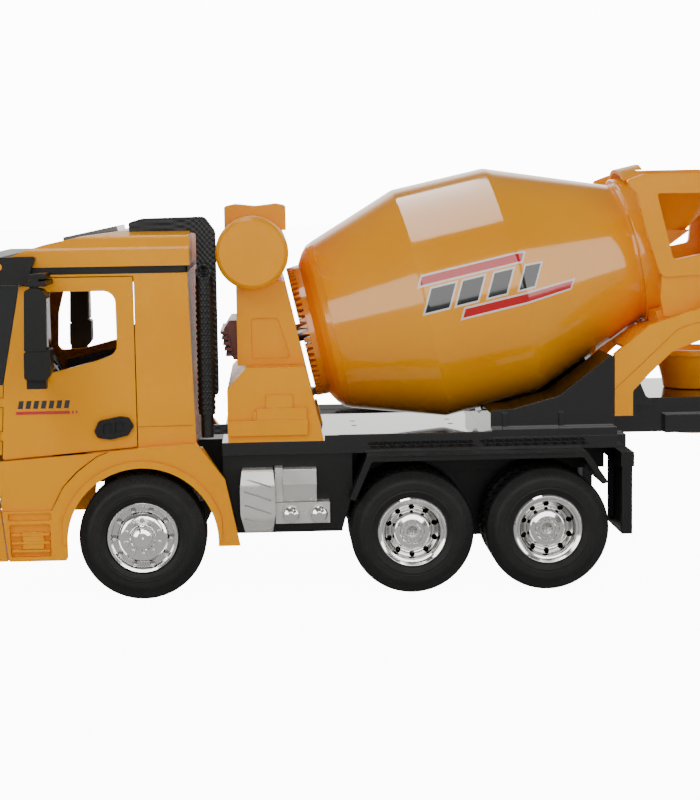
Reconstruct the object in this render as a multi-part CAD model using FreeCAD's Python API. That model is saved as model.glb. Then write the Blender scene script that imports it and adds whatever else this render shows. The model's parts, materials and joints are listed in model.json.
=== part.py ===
import FreeCAD, Part
import math
import os
from FreeCAD import Vector as V

os.makedirs("parts", exist_ok=True)

# Toy concrete mixer truck.  The truck faces -X, +Z is up, the ground is z = 0.
# Lengths are measured from the front axle along x; SHIFT centres the truck.
SHIFT = -112.0

# running gear
AXLES = (0.0, 112.4, 169.4)
TYRE_R = (26.5, 26.0, 26.0)
RIM_R = (15.2, 14.8)
WHEEL_OUT = 64.0
FRONT_W = 20.0
REAR_W = 36.0
SHAFT_R = 2.0
RUN = 0.05
KINGPIN_Y = 37.0
ARM = 12.0
RIM_HOLES = 10

# drum, in its own frame: s along the axis, r from the axis
TILT = 12.8
DRUM_X = 81.95
DRUM_Z = 109.1
DRUM = ((0.0, 38.2), (40.0, 51.8), (81.5, 51.5), (134.0, 31.0))
WALL = 1.8
COLLAR_R = 33.2
COLLAR_S = (135.5, 142.0)
FACE_TEETH = 64
PINION_TEETH = 12
FACE_R = 27.0
TOOTH_ROOT = -10.6
TOOTH_TIP = -13.7
SHAFT_S = (-33.0, -2.0)
PEDESTAL_FACE = -15.5

# body
CAB_Y = 60.0
CAB_TOP = 136.0
FLOOR = 62.0
DECK_TOP = 64.5
DECK_Y = 56.0
TANK = (47.7, 143.3)
TANK_R = 15.2
HINGE = (-58.2, -59.8)
POT_X = 245.0
FOLD = (265.0, 84.0)


def box(x0, x1, y0, y1, z0, z1):
    return Part.makeBox(x1 - x0, y1 - y0, z1 - z0, V(x0, y0, z0))


def rod(p, d, r, length):
    return Part.makeCylinder(r, length, V(*p), V(*d))


def at(plane, u, v, w):
    if plane == "xz":
        return V(u, w, v)
    if plane == "yz":
        return V(w, u, v)
    return V(u, v, w)


def edges(points, plane, w):
    """Closed outline; a third number in a point rounds that corner."""
    n = len(points)
    ends = []
    for i in range(n):
        p = points[i]
        c = V(p[0], p[1], 0)
        if len(p) < 3:
            ends.append((c, None, c))
            continue
        a = V(points[i - 1][0], points[i - 1][1], 0) - c
        b = V(points[(i + 1) % n][0], points[(i + 1) % n][1], 0) - c
        a.normalize()
        b.normalize()
        half = a.getAngle(b) / 2
        t = p[2] / math.tan(half)
        m = a + b
        m.normalize()
        mid = c + m * (p[2] / math.sin(half) - p[2])
        ends.append((c + a * t, mid, c + b * t))
    out = []
    for i in range(n):
        first, mid, last = ends[i]
        if mid is not None:
            pts = [at(plane, q.x, q.y, w) for q in (first, mid, last)]
            out.append(Part.Arc(*pts).toShape())
        nxt = ends[(i + 1) % n][0]
        if (nxt - last).Length > 1e-6:
            out.append(Part.makeLine(at(plane, last.x, last.y, w), at(plane, nxt.x, nxt.y, w)))
    return out


def prism(points, plane, w0, w1):
    face = Part.Face(Part.Wire(edges(points, plane, w0)))
    return face.extrude(at(plane, 0, 0, w1 - w0))


def turned(points, centre, axis):
    """Revolve (along, radius) points about an axis through centre."""
    flat = Part.Face(Part.Wire(edges(points, "xz", 0)))
    solid = flat.revolve(V(0, 0, 0), V(1, 0, 0), 360)
    if axis == "y":
        solid.rotate(V(0, 0, 0), V(0, 0, 1), 90)
    if axis == "z":
        solid.rotate(V(0, 0, 0), V(0, 1, 0), -90)
    solid.translate(V(*centre))
    return solid


def join(*shapes):
    return shapes[0].multiFuse(list(shapes[1:])).removeSplitter()


def cut(shape, *tools):
    return shape.cut(list(tools))


def flip(shape):
    return shape.mirror(V(0, 0, 0), V(0, 1, 0))


def pair(shape):
    return [shape, flip(shape)]


def tilt(shape):
    """From the drum's own frame to the truck."""
    s = shape.copy()
    s.rotate(V(0, 0, 0), V(0, 1, 0), -TILT)
    s.translate(V(DRUM_X, 0, DRUM_Z))
    return s


def moved(shape, x, y, z):
    s = shape.copy()
    s.translate(V(x, y, z))
    return s


def ring_of(tool, centre, axis, count, start=0.0):
    out = []
    for k in range(count):
        t = tool.copy()
        t.rotate(V(*centre), V(*axis), start + k * 360.0 / count)
        out.append(t)
    return out


def save(node, *shapes):
    solids = []
    for shape in shapes:
        for item in (shape if isinstance(shape, list) else [shape]):
            solids += item.Solids
    whole = solids[0] if len(solids) == 1 else Part.makeCompound(solids)
    whole = whole.copy()
    whole.translate(V(SHIFT, 0, 0))
    whole.exportStep("parts/" + node + ".step")


def spur(teeth, module, width, bore, phase, slack=0.12):
    """Involute spur gear from z = 0 up, a tooth centred at the phase angle."""
    rp = teeth * module / 2
    rb = rp * math.cos(math.radians(20))
    tip = rp + 0.85 * module
    root = rp - 1.15 * module
    inv = math.tan(math.radians(20)) - math.radians(20)
    half = math.pi / (2 * teeth) - slack / (2 * rp) + inv
    radii = [root] + [max(rb, root) + (tip - max(rb, root)) * k / 3.0 for k in range(4)]
    points = []
    for k in range(teeth):
        mid = math.radians(phase) + 2 * math.pi * k / teeth
        flank = []
        for r in radii:
            a = math.acos(min(1.0, rb / r))
            flank.append((r, half - (math.tan(a) - a)))
        for r, h in flank:
            points.append((r * math.cos(mid - h), r * math.sin(mid - h)))
        for r, h in reversed(flank):
            points.append((r * math.cos(mid + h), r * math.sin(mid + h)))
    body = prism(points, "xy", 0, width)
    return cut(body, rod((0, 0, -1), (0, 0, 1), bore, width + 2))


# ------------------------------------------------------------------ wheels
def tyre(radius, width, bead, duals):
    """Tyre about the y axis, inner face at y = 0, outer face at y = -width."""
    spans = [(0.0, -width)] if not duals else [(0.0, -width / 2 + 0.9), (-width / 2 - 0.9, -width)]
    parts = []
    for a, b in spans:
        w = a - b
        profile = [(a - 0.7, bead), (a, bead + 2.2, 1.5), (a, radius - 4.2, 4.0), (a - 3.0, radius, 1.6),
                   (a - 0.32 * w, radius), (a - 0.32 * w, radius - 1.0),
                   (a - 0.32 * w - 0.9, radius - 1.0),
                   (a - 0.32 * w - 0.9, radius),
                   (b + 0.32 * w + 0.9, radius), (b + 0.32 * w + 0.9, radius - 1.0),
                   (b + 0.32 * w, radius - 1.0), (b + 0.32 * w, radius),
                   (b + 3.0, radius, 1.6), (b, radius - 4.2, 4.0), (b, bead + 2.2, 1.5), (b + 0.7, bead)]
        parts.append(turned(profile, (0, 0, 0), "y"))
    if duals:
        mid = [(-width / 2 + 3.0, bead), (-width / 2 + 3.0, radius - 5.0),
               (-width / 2 - 3.0, radius - 5.0), (-width / 2 - 3.0, bead)]
        parts.append(turned(mid, (0, 0, 0), "y"))
        solid = join(*parts)
    else:
        solid = parts[0]
    lug = box(-0.5, 0.5, -width + 3.4, -3.4, radius - 0.9, radius + 1.0)
    lug.rotate(V(0, -width / 2, radius), V(0, 0, 1), 18)
    lugs = ring_of(lug, (0, 0, 0), (0, 1, 0), 40)
    return cut(solid, *lugs)


def front_rim():
    """Domed wheel cover with a ring of nuts and a ring of vent holes."""
    r = RIM_R[0]
    face = [(0, SHAFT_R + RUN), (0, 5.0), (-9.0, 5.0), (-11.0, 13.2), (0, 13.2), (0, r), (-19.0, r),
            (-19.8, r - 0.7), (-19.6, r - 1.9, 0.3), (-17.6, r - 2.4), (-17.4, r - 4.4),
            (-18.4, r - 5.0, 0.5),
            (-19.3, 9.0, 3), (-19.7, 5.4, 0.4), (-20.2, 4.9), (-20.2, 4.1), (-20.9, 3.9, 0.4),
            (-21.4, 2.4, 1.5), (-21.6, 0.0),
            (-15.0, 0.0), (-15.0, SHAFT_R + RUN)]
    solid = turned(face, (0, 0, 0), "y")
    nut = rod((0, -18.0, 7.4), (0, -1, 0), 1.05, 2.3)
    hole = rod((0, -15.4, 11.9), (0, -1, 0), 1.15, 4.0)
    solid = join(solid, *ring_of(nut, (0, 0, 0), (0, 1, 0), RIM_HOLES))
    return cut(solid, *ring_of(hole, (0, 0, 0), (0, 1, 0), RIM_HOLES, 18.0))


def rear_rim():
    """Deep dished rim with round hand holes and a socketed hub."""
    r = RIM_R[1]
    face = [(0, SHAFT_R), (0, 5.5), (-24.0, 6.0), (-26.0, 11.0), (0, 12.6), (0, r), (-35.2, r),
            (-35.9, r - 0.8, 0.2), (-35.5, r - 1.7), (-34.6, r - 2.2), (-34.4, r - 2.9),
            (-31.0, r - 3.6, 1.5), (-29.0, 9.4, 1.5),
            (-29.2, 8.6), (-32.4, 7.6, 1.2), (-33.0, 5.2), (-32.6, 5.0), (-32.6, 3.6), (-33.0, 3.4),
            (-33.0, 2.3),
            (-30.0, 2.1), (-30.0, SHAFT_R)]
    solid = turned(face, (0, 0, 0), "y")
    hole = rod((0, -22.0, 10.0), (0, -1, 0), 1.15, 14.0)
    nut = rod((0, -32.2, 4.3), (0, -1, 0), 0.45, 0.8)
    solid = join(solid, *ring_of(nut, (0, 0, 0), (0, 1, 0), RIM_HOLES, 18.0))
    return cut(solid, *ring_of(hole, (0, 0, 0), (0, 1, 0), RIM_HOLES))


tyre_f = moved(tyre(TYRE_R[0], FRONT_W, RIM_R[0], False), AXLES[0], -WHEEL_OUT + FRONT_W, TYRE_R[0])
rim_f = moved(front_rim(), AXLES[0], -WHEEL_OUT + FRONT_W, TYRE_R[0])
save("front_tyre_left", tyre_f)
save("front_tyre_right", flip(tyre_f))
save("front_rim_left", rim_f)
save("front_rim_right", flip(rim_f))

tyre_r = tyre(TYRE_R[1], REAR_W, RIM_R[1], True)
rim_r = rear_rim()
for name, x in (("middle", AXLES[1]), ("rear", AXLES[2])):
    inner = -WHEEL_OUT + REAR_W
    save("tyres_" + name, pair(moved(tyre_r, x, inner, TYRE_R[1])))
    save("rims_" + name, pair(moved(rim_r, x, inner, TYRE_R[1])))
    shaft = rod((x, -57.4, TYRE_R[1]), (0, 1, 0), SHAFT_R, 114.8)
    slot = box(x - 0.4, x + 0.4, -58, -56.8, TYRE_R[1] - 2, TYRE_R[1] + 2)
    cross = box(x - 2, x + 2, -58, -56.8, TYRE_R[1] - 0.4, TYRE_R[1] + 0.4)
    save("shaft_" + name, cut(shaft, slot, cross, flip(slot), flip(cross)))

# --------------------------------------------------------- chassis and axle drive
spine = box(-40, 200, -25, 25, 46, FLOOR)
side_box = prism([(33.6, 27), (83.6, 27), (88, 42), (88, FLOOR), (33.6, FLOOR)], "xz", -54, 54)
tail_sill = box(88, 200, -30, 30, 58, FLOOR)
hollow = box(-37, 196, -22, 22, 45, 59)
side_hollow = prism([(36.6, 26), (80.8, 26), (85, 43), (85, 59), (36.6, 59)], "xz", -51, 51)
drum_axis_hole = tilt(rod((-17.86, 0, -75), (0, 0, 1), 1.8, 50))
chassis = join(spine, side_box, tail_sill)
chassis = cut(chassis, hollow, side_hollow, drum_axis_hole)
save("chassis_frame", chassis)

belly = cut(box(-37, 33.6, -25, 25, 44.5, 46), rod((20.3, 0, 40), (0, 0, 1), 7.7, 10),
            box(-5, 5, -20, 20, 44, 47))
save("belly_cover", belly, box(33.6, 83.6, -53, 53, 25.5, 27))

ax, az = AXLES[1], TYRE_R[1]
IDLER = (ax + 10.8 * math.cos(math.radians(45)), az + 10.8 * math.sin(math.radians(45)))
DRIVE = (IDLER[0] + 9.0, IDLER[1])
housing = box(98, 184, -24, 24, 17, 46)
housing = cut(housing, box(100.5, 181.5, -21, 21, 19.5, 47))
post = rod((IDLER[0], 7.5, IDLER[1]), (0, 1, 0), 1.2, 14.5)
housing = join(housing, post)
for x in AXLES[1:]:
    housing = cut(housing, rod((x, -30, az), (0, 1, 0), SHAFT_R + RUN, 60))
motor_seat = box(DRIVE[0] - 9, DRIVE[0] + 9, -18, 3, 19.5, 34)
housing = join(housing, motor_seat)
housing = cut(housing, rod((DRIVE[0], -19, DRIVE[1]), (0, 1, 0), 7.5, 23))
save("axle_housing", housing)

gear_a = spur(16, 0.6, 4.0, SHAFT_R, 0)
gear_b = spur(20, 0.6, 4.0, 1.25, 0)
gear_c = spur(10, 0.6, 5.0, 0.8, 0)


def along_y(gear, cx, cz, y, angle):
    """Lay a gear flat in the xz plane with a tooth at the angle above +x."""
    g = gear.copy()
    g.rotate(V(0, 0, 0), V(1, 0, 0), 90)
    g.rotate(V(0, 0, 0), V(0, 1, 0), -angle)
    g.translate(V(cx, y, cz))
    return g


save("axle_gear", along_y(gear_a, ax, az, 12.0, 45))
save("idler_gear", along_y(gear_b, IDLER[0], IDLER[1], 12.0, 234))
save("motor_pinion", along_y(gear_c, DRIVE[0], DRIVE[1], 12.5, 198),
     rod((DRIVE[0], 5.2, DRIVE[1]), (0, 1, 0), 0.8, 7.3))

# ----------------------------------------------------------------- front axle
fz = TYRE_R[0]
beam = join(box(-5, 5, -32, 32, 22, 31), box(-5, 5, -20, 20, 31, 44.5))
ears = []
for side in (-1, 1):
    y = side * KINGPIN_Y
    for z in (18.5, 31.6):
        ears.append(join(box(-4, 4, min(y, y - side * 7), max(y, y - side * 7), z, z + 2.9),
                         rod((0, y, z), (0, 0, 1), 4, 2.9)))
    web = box(-4, 4, min(side * 28, side * 32), max(side * 28, side * 32), 18.5, 34.5)
    ears.append(web)
    guide = box(5, 17.5, min(side * 16, side * 21), max(side * 16, side * 21), 29, 38.5)
    ears.append(guide)
beam = join(beam, *ears)
rack_slot = box(9.45, 14.55, -25, 25, 31.95, 35.05)
kingpin = [rod((0, s * KINGPIN_Y, 17.5), (0, 0, 1), 1.5, 18.0) for s in (-1, 1)]
save("front_axle_beam", cut(beam, rack_slot, *kingpin))


def knuckle():
    y = -KINGPIN_Y
    block = prism([(-3.6, y - 4, 1), (3.6, y - 4, 1), (3.6, y + 4, 1), (-3.6, y + 4, 1)], "xy", 21.5,
                  31.5)
    stub = rod((0, y - 3, fz), (0, -1, 0), SHAFT_R, 18.0)
    arm = box(2, ARM + 2, y - 1.8, y + 1.8, 28.4, 31.4)
    ball = rod((ARM, y, 31.0), (0, 0, 1), 1.2, 4.6)
    whole = join(block, stub, arm, ball)
    return cut(whole, rod((0, y, 15), (0, 0, 1), 1.5 + RUN, 25))


save("knuckle_left", knuckle())
save("knuckle_right", flip(knuckle()))

PITCH = math.pi * 0.8
rack = box(9.5, 14.5, -42, 42, 32, 35)
tooth = prism([(14.0, -0.84), (14.5, -0.84), (16.2, -0.22), (16.2, 0.22), (14.5, 0.84), (14.0, 0.84)],
              "xy", 32, 35)
rack = join(rack, *[moved(tooth, 0, (k + 0.5) * PITCH, 0) for k in range(-5, 5)])
slots = [box(9.9, 14.0, s * KINGPIN_Y - 1.27, s * KINGPIN_Y + 1.27, 31, 36) for s in (-1, 1)]
save("steering_rack", cut(rack, *slots))
steer_pinion = moved(spur(12, 0.8, 4.0, 0.9, 180), 20.3, 0, 31.5)
save("steering_pinion", steer_pinion, rod((20.3, 0, 31.5), (0, 0, 1), 0.9, 6.0))

steer_motor = cut(rod((20.3, 0, 38.0), (0, 0, 1), 7.5, 19), rod((20.3, 0, 37), (0, 0, 1), 0.95, 3))
drive_motor = cut(rod((DRIVE[0], -17.5, DRIVE[1]), (0, 1, 0), 7.5, 20.5),
                  rod((DRIVE[0], 0, DRIVE[1]), (0, 1, 0), 0.85, 5))
drive_motor = join(drive_motor, cut(rod((DRIVE[0], 3, DRIVE[1]), (0, 1, 0), 2.5, 1.6),
                                    rod((DRIVE[0], 2, DRIVE[1]), (0, 1, 0), 0.85, 5)))
PIN_S = TOOTH_ROOT - 2.2 - PINION_TEETH * (2 * FACE_R / FACE_TEETH) / 2
mixer_motor = tilt(cut(rod((PIN_S, 0, -49), (0, 0, -1), 6.5, 13.0),
                       rod((PIN_S, 0, -48), (0, 0, -1), 1.05, 6)))
save("motors", steer_motor, drive_motor, mixer_motor)

# --------------------------------------------------------------- deck and tail
clear = tilt(turned([(-6.0, 0), (-6.0, 41.0), (0.0, 41.0), (40.0, 54.3), (82.5, 54.0), (143.0, 31.5),
                     (143.0, 0)],
                    (0, 0, 0), "x"))
deck = box(33.6, 200, -DECK_Y, DECK_Y, FLOOR, DECK_TOP)
lip = box(76.5, 147, -DECK_Y, -DECK_Y + 1.4, DECK_TOP, 66.8)
lip2 = box(33.6, 200, -DECK_Y, -DECK_Y + 1.0, 59.0, FLOOR)
deck = join(deck, lip, flip(lip), lip2, flip(lip2))
slot_a = box(100.0, 104.0, -50.5, -48.5, 60, 66)
deck = cut(deck, slot_a, flip(slot_a), drum_axis_hole)
save("deck", deck)

RAMP = [(147, DECK_TOP), (147, 75.0, 1.2), (157.0, 75.6, 4), (176.0, 80.6, 6), (198.4, 97.8, 1),
        (200, 97.0), (200, DECK_TOP)]
ramp = prism(RAMP, "xz", -50, 50)
core = prism([(149.5, 60), (149.5, 72.4), (157.0, 73.1), (175.4, 77.8), (197.5, 94.4), (197.5, 60)], "xz",
             -47.5, 47.5)
ramp = cut(ramp, core, clear)
foot = box(147, 200, -DECK_Y + 0.4, -50, DECK_TOP, 67.6)
rib = [box(x, x + 2.0, -51.2, -50, 67.6, 74) for x in (152.0, 176.0)]
ramp = join(ramp, foot, flip(foot), *(rib + [flip(r) for r in rib]))
save("rear_ramp", ramp)

FENDER = [(93.7, 59.0, 1.5), (185.6, 59.0, 1.5), (194.6, 45.6), (192.0, 45.0), (184.2, 56.4, 1.5),
          (95.6, 56.4, 1.5), (88.6, 40.2), (86.2, 41.0)]
fender = prism(FENDER, "xz", -65, -30.2)
fender_web = prism([(100, 59), (180, 59), (180, 58.5), (100, 58.5)], "xz", -66, -65)
fender = join(cut(fender, box(80, 88.4, -54.4, -20, 30, 70)), fender_web,
              box(128, 154, -54.9, -30.2, 59.0, FLOOR))
flap = join(box(200.4, 204.8, -64, -31, 23.4, 55.6), box(199.0, 205.6, -64, -25, 52.0, 58.0))
flap = cut(flap, prism([(200.0, 24), (202.6, 26), (202.6, 50), (200.0, 51)], "xz", -61, -34))
flap = cut(flap, box(190, 200, -64, -20, 50, 60))
save("rear_mudguards", pair(fender), pair(flap))

platform = box(200, 258, -40, 40, 63.2, 78)
platform = cut(platform, box(203, 255, -37, 37, 62, 75.5))
plinth = rod((POT_X, 0, 63.2), (0, 0, 1), 9.0, 13)
platform = join(platform, plinth, box(200, 205.6, -46, 46, 58.0, 63.2),
                box(222.9, 258, -44, 44, 63.2, 71.0))
platform = cut(platform, rod((POT_X, 0, 50), (0, 0, 1), 5.0 + RUN, 40),
               box(224.9, 255, -37, 37, 62, 69.5).cut(rod((POT_X, 0, 60), (0, 0, 1), 9.0, 20)))
gusset = prism([(207.8, 78.0), (207.8, 83.4), (211.6, 85.6), (214.2, 79.4, 1), (216.5, 78.0)], "xz",
               -45.6, -43.4)
platform = join(platform, gusset, flip(gusset), box(207.8, 216.5, -45.6, -37.0, 75.5, 78.0),
                box(207.8, 216.5, 37.0, 45.6, 75.5, 78.0))
save("tail_platform", platform)
lamp = [box(258, 260.2, 22 + 7.2 * k, 28.4 + 7.2 * k, 64.8, 69.6) for k in range(3)]
save("tail_lamps", lamp, [flip(q) for q in lamp])

# ---------------------------------------------------------------- side tanks
barrel = prism([(-54, 27.2), (-61.6, 27.2, 2), (-63.4, 33.0, 6), (-63.4, 47.5, 6), (-61.8, 53.6, 1),
                (-54, 53.6)],
               "yz", 40.0, 56.0)
barrel = barrel.common(prism([(41.6, 53.6, 0.5), (40.7, 46.0, 8), (40.7, 35.0, 8), (42.6, 27.2, 0.8),
                              (54.0, 27.2, 0.8),
                              (55.3, 35.0, 8), (55.3, 46.0, 8), (54.6, 53.6, 0.5)], "xz", -70, -50))
grooves = []
for k in range(4):
    g = box(42.2, 53.8, -64.2, -62.8, -0.3, 0.3)
    g.rotate(V(48, 0, 0), V(0, 1, 0), 19)
    grooves.append(moved(g, 0, 0, 31.6 + 5.6 * k))
barrel = cut(barrel, *grooves)
bracket = box(55.3, 58.6, -61.5, -54, 39.8, 54.2)
locker = prism([(-54, 39.6), (-61.0, 39.6, 0.6), (-63.0, 47.6), (-60.4, 53.4, 0.8), (-54, 53.4)], "yz",
               58.6, 72.6)
locker = cut(locker, box(60.0, 71.2, -64, -62.6, 44.0, 45.2))
shelf = box(55.3, 78.0, -61.0, -54.0, 30.8, 38.5)
shelf = join(shelf, box(55.3, 78.0, -62.0, -54.0, 38.5, 39.6))
air = []
for x in (61.7, 73.4):
    air.append(turned([(-62.0, 0.0), (-62.0, 3.6), (-64.6, 3.4, 1.2), (-65.6, 1.2, 0.8), (-65.6, 0.0)],
                      (x, 0, 34.9), "y"))
shelf = cut(shelf, box(50, 80, -80, -62.0, 20, 60))
back = box(55.3, 78.0, -62.0, -61.0, 30.8, 38.5)
save("side_tanks", pair(barrel), pair(bracket), pair(locker), pair(join(shelf, back)))
save("air_tanks", *[pair(a) for a in air])

# ----------------------------------------------------- pedestal and water tank
def on_face(z):
    """x of the pedestal's sloping rear face at a height."""
    t = math.radians(TILT)
    return DRUM_X + (PEDESTAL_FACE - (z - DRUM_Z) * math.sin(t)) / math.cos(t)


LOW = 95.8
lower = prism([(36.1, DECK_TOP), (36.1, 86.7, 1), (44.2, LOW, 1), (on_face(LOW), LOW, 0.8),
               (on_face(DECK_TOP), DECK_TOP)], "xz", -DECK_Y, DECK_Y)
inside = prism([(38.6, 60), (38.6, 85.7), (45.2, LOW - 2.5), (on_face(LOW) - 2.6, LOW - 2.5),
                (on_face(60) - 2.6, 60)], "xz", -DECK_Y + 2.5, DECK_Y - 2.5)
lower = cut(lower, inside)
blocks = [box(52.3, 63.4, -DECK_Y - 0.8, -DECK_Y, 78.8, 84.3),
          box(48.3, 69.2, -DECK_Y - 1.2, -DECK_Y, 73.8, 78.8),
          box(46.8, 48.3, -DECK_Y - 0.7, -DECK_Y, 73.8, 77.6),
          box(36.1, 69.6, -DECK_Y - 1.6, -DECK_Y, 67.4, 73.8)]
bearing = tilt(rod((PIN_S, 0, -46.5), (0, 0, 1), 3.6, 15.5))
bearing = bearing.common(box(0, 100, -20, 20, DECK_TOP, LOW))
lower = join(lower, bearing, *(blocks + [flip(q) for q in blocks]))
pocket = tilt(rod((PIN_S, 0, -30.6), (0, 0, 1), 6.6, 9.0))
shaft_hole = tilt(rod((PIN_S, 0, -60), (0, 0, 1), 1.0 + RUN, 40))
lower = cut(lower, pocket, shaft_hole)
save("pedestal_lower", lower)

tank_hole = rod((TANK[0], -70, TANK[1]), (0, 1, 0), TANK_R, 140)
upper = prism([(40.6, LOW), (40.6, 131.0, 1), (on_face(131.0), 131.0, 1), (on_face(LOW), LOW)], "xz", -45,
              45)
inside = prism([(43.1, LOW - 1), (43.1, 125.0), (on_face(125.0) - 2.6, 125.0),
                (on_face(LOW - 1) - 2.6, LOW - 1)],
               "xz", -42.5, 42.5)
boss = tilt(rod((SHAFT_S[0] + 8, 0, 0), (1, 0, 0), 8.0, 9.0)).common(box(0, 100, -20, 20, LOW, 130))
upper = join(cut(upper, inside), boss)
panel = prism([(46.6, 98.6, 1.2), (46.6, 115.6, 1.2), (on_face(115.6) - 6.6, 115.6, 1.2),
               (on_face(98.6) - 5.4, 98.6, 1.2)],
              "xz", -46, -44.3)
upper = cut(upper, tank_hole, panel, flip(panel), tilt(rod((-60, 0, 0), (1, 0, 0), 4.0 + RUN, 50)))
save("pedestal_upper", upper)

fins = [box(33.0 + 0.55 * k, 36.5 + 0.55 * k, -25, 25, 107.6 - 2.4 * k,
            108.9 - 2.4 * k) for k in range(5)]
cooler = prism([(40.6, 96.4), (38.4, 96.4, 0.5), (34.4, 109.4, 1), (37.0, 113.4, 1), (40.6, 113.4)], "xz",
               -23, 23)
cooler = join(cooler, *fins)
save("cooler", cooler)

tank = turned([(-56.0, 0.0), (-56.0, 13.4, 0.6), (-54.6, 14.6, 0.6), (-52.8, 15.2, 0.3), (-51.8, 15.2),
               (-51.8, 14.7),
               (-51.2, 14.7), (-51.2, TANK_R), (51.2, TANK_R), (51.2, 14.7), (51.8, 14.7), (51.8, 15.2),
               (52.8, 15.2, 0.3), (54.6, 14.6, 0.6), (56.0, 13.4, 0.6), (56.0, 0.0)],
              (TANK[0], 0, TANK[1]), "y")
saddle = prism([(35.8, 152.0), (35.8, 162.6, 1.2), (40, 163.4), (49, 162.4), (58.0, 163.4),
                (62.3, 162.6, 1.2),
                (62.3, 152.0)], "xz", -24, 24)
saddle = cut(saddle, tank_hole)
save("water_tank", tank, saddle)

# -------------------------------------------------------------------- the cab
BODY = [(-64.0, FLOOR), (-64.0, 91.0, 3), (-56.6, CAB_TOP), (21.0, CAB_TOP), (23.0, 66.0), (23.0, FLOOR)]
shell = prism(BODY, "xz", -CAB_Y, CAB_Y)
shell = cut(shell, prism([(-61.4, FLOOR + 2.5), (-61.4, 90.5, 2), (-54.0, CAB_TOP + 1),
                          (18.4, CAB_TOP + 1),
                          (20.4, FLOOR + 2.5)], "xz", -57.0, 57.0))
SCREEN = [(-64.9, 92.0), (-57.4, 132.0), (-47.9, 132.0), (-55.7, 92.0), (-55.9, 91.0), (-64.9, 91.0)]
DOOR = [(-57.0, 59.9, 0.8), (-55.4, 92.0), (-47.7, 131.5, 0.6), (-43.4, 131.7, 0.4), (-42.0, 134.7, 0.4),
        (-1.4, 134.7, 0.5), (-1.4, 64.2, 1.0)]
OPENING = [(-57.4, 59.1), (-55.7, 92.0), (-48.0, 131.9), (-43.7, 132.1), (-42.3, 135.1),
           (-1.0, 135.1, 0.9),
           (-1.0, 63.8, 1.0)]
gap = prism(OPENING, "xz", -CAB_Y - 1, -57.0)
relief = [join(rod((HINGE[0], HINGE[1], z), (0, 0, 1), 1.1, 4.2),
               box(HINGE[0], HINGE[0] + 2.6, -60.5, -58.7, z, z + 4.2)) for z in (67.7, 81.7)]
screen_gap = prism(SCREEN, "xz", -CAB_Y - 1, CAB_Y + 1)
shell = cut(shell, gap, flip(gap), screen_gap, *(relief + [flip(q) for q in relief]))
rail = join(box(-52, 18.6, -57.0, -53.4, 132.4, CAB_TOP), box(-52, 18.6, -57.2, -56.8, 135.2, CAB_TOP))
post = box(-0.4, 2.6, -57.0, -54.0, FLOOR + 2.5, CAB_TOP)
quarter = box(-1.0, 21.6, -CAB_Y - 1, -CAB_Y + 0.35, 72.4, 72.75)
shell = cut(join(shell, rail, flip(rail), post, flip(post)), quarter, flip(quarter))
lugs = []
for z in (64.6, 86.0):
    lugs.append(rod((HINGE[0], HINGE[1], z), (0, 0, 1), 0.8, 3.0))
pins = [rod((HINGE[0], y, z), (0, 0, 1), 0.4, 7.0) for y in (HINGE[1], -HINGE[1]) for z in (64.6, 82.0)]
shell = cut(join(shell, *(lugs + [flip(q) for q in lugs])), *pins)
save("cab_shell", shell)

screws = [rod((x, s * y, z - 1.2), (0, 0, 1), 1.6, 1.2) for s in (-1, 1) for x, y, z in
          ((-32, 18, 44.5), (30, 18, 44.5), (42, 44, 25.5), (80, 44, 25.5))]
save("pins_and_screws", kingpin, pins, screws)

glass = cut(prism(SCREEN, "xz", -CAB_Y, CAB_Y),
            prism([(-63.3, 90.0), (-55.6, 133.0), (-45.0, 133.0), (-53.0, 90.0)], "xz", -58.4, 58.4))
save("windscreen", glass)

WINDOW = [(-46.6, 95.2, 3), (-45.8, 113.0, 8), (-41.8, 129.0, 2.5), (-8.8, 129.0, 5), (-8.6, 103.4, 5),
          (-16.0, 100.6, 6),
          (-34.0, 96.0, 8)]


def door():
    panel = prism(DOOR, "xz", -CAB_Y, -57.2)
    light = prism(WINDOW, "xz", -CAB_Y - 1, -56)
    knuckles = []
    for z in (68.0, 82.0):
        knuckles.append(join(rod((HINGE[0], HINGE[1], z), (0, 0, 1), 0.9, 3.6),
                             box(HINGE[0], HINGE[0] + 3.4, -60.0, -58.9, z, z + 3.6)))
    panel = join(cut(panel, light), *knuckles)
    return cut(panel, rod((HINGE[0], HINGE[1], 60), (0, 0, 1), 0.4 + RUN, 40))


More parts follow.
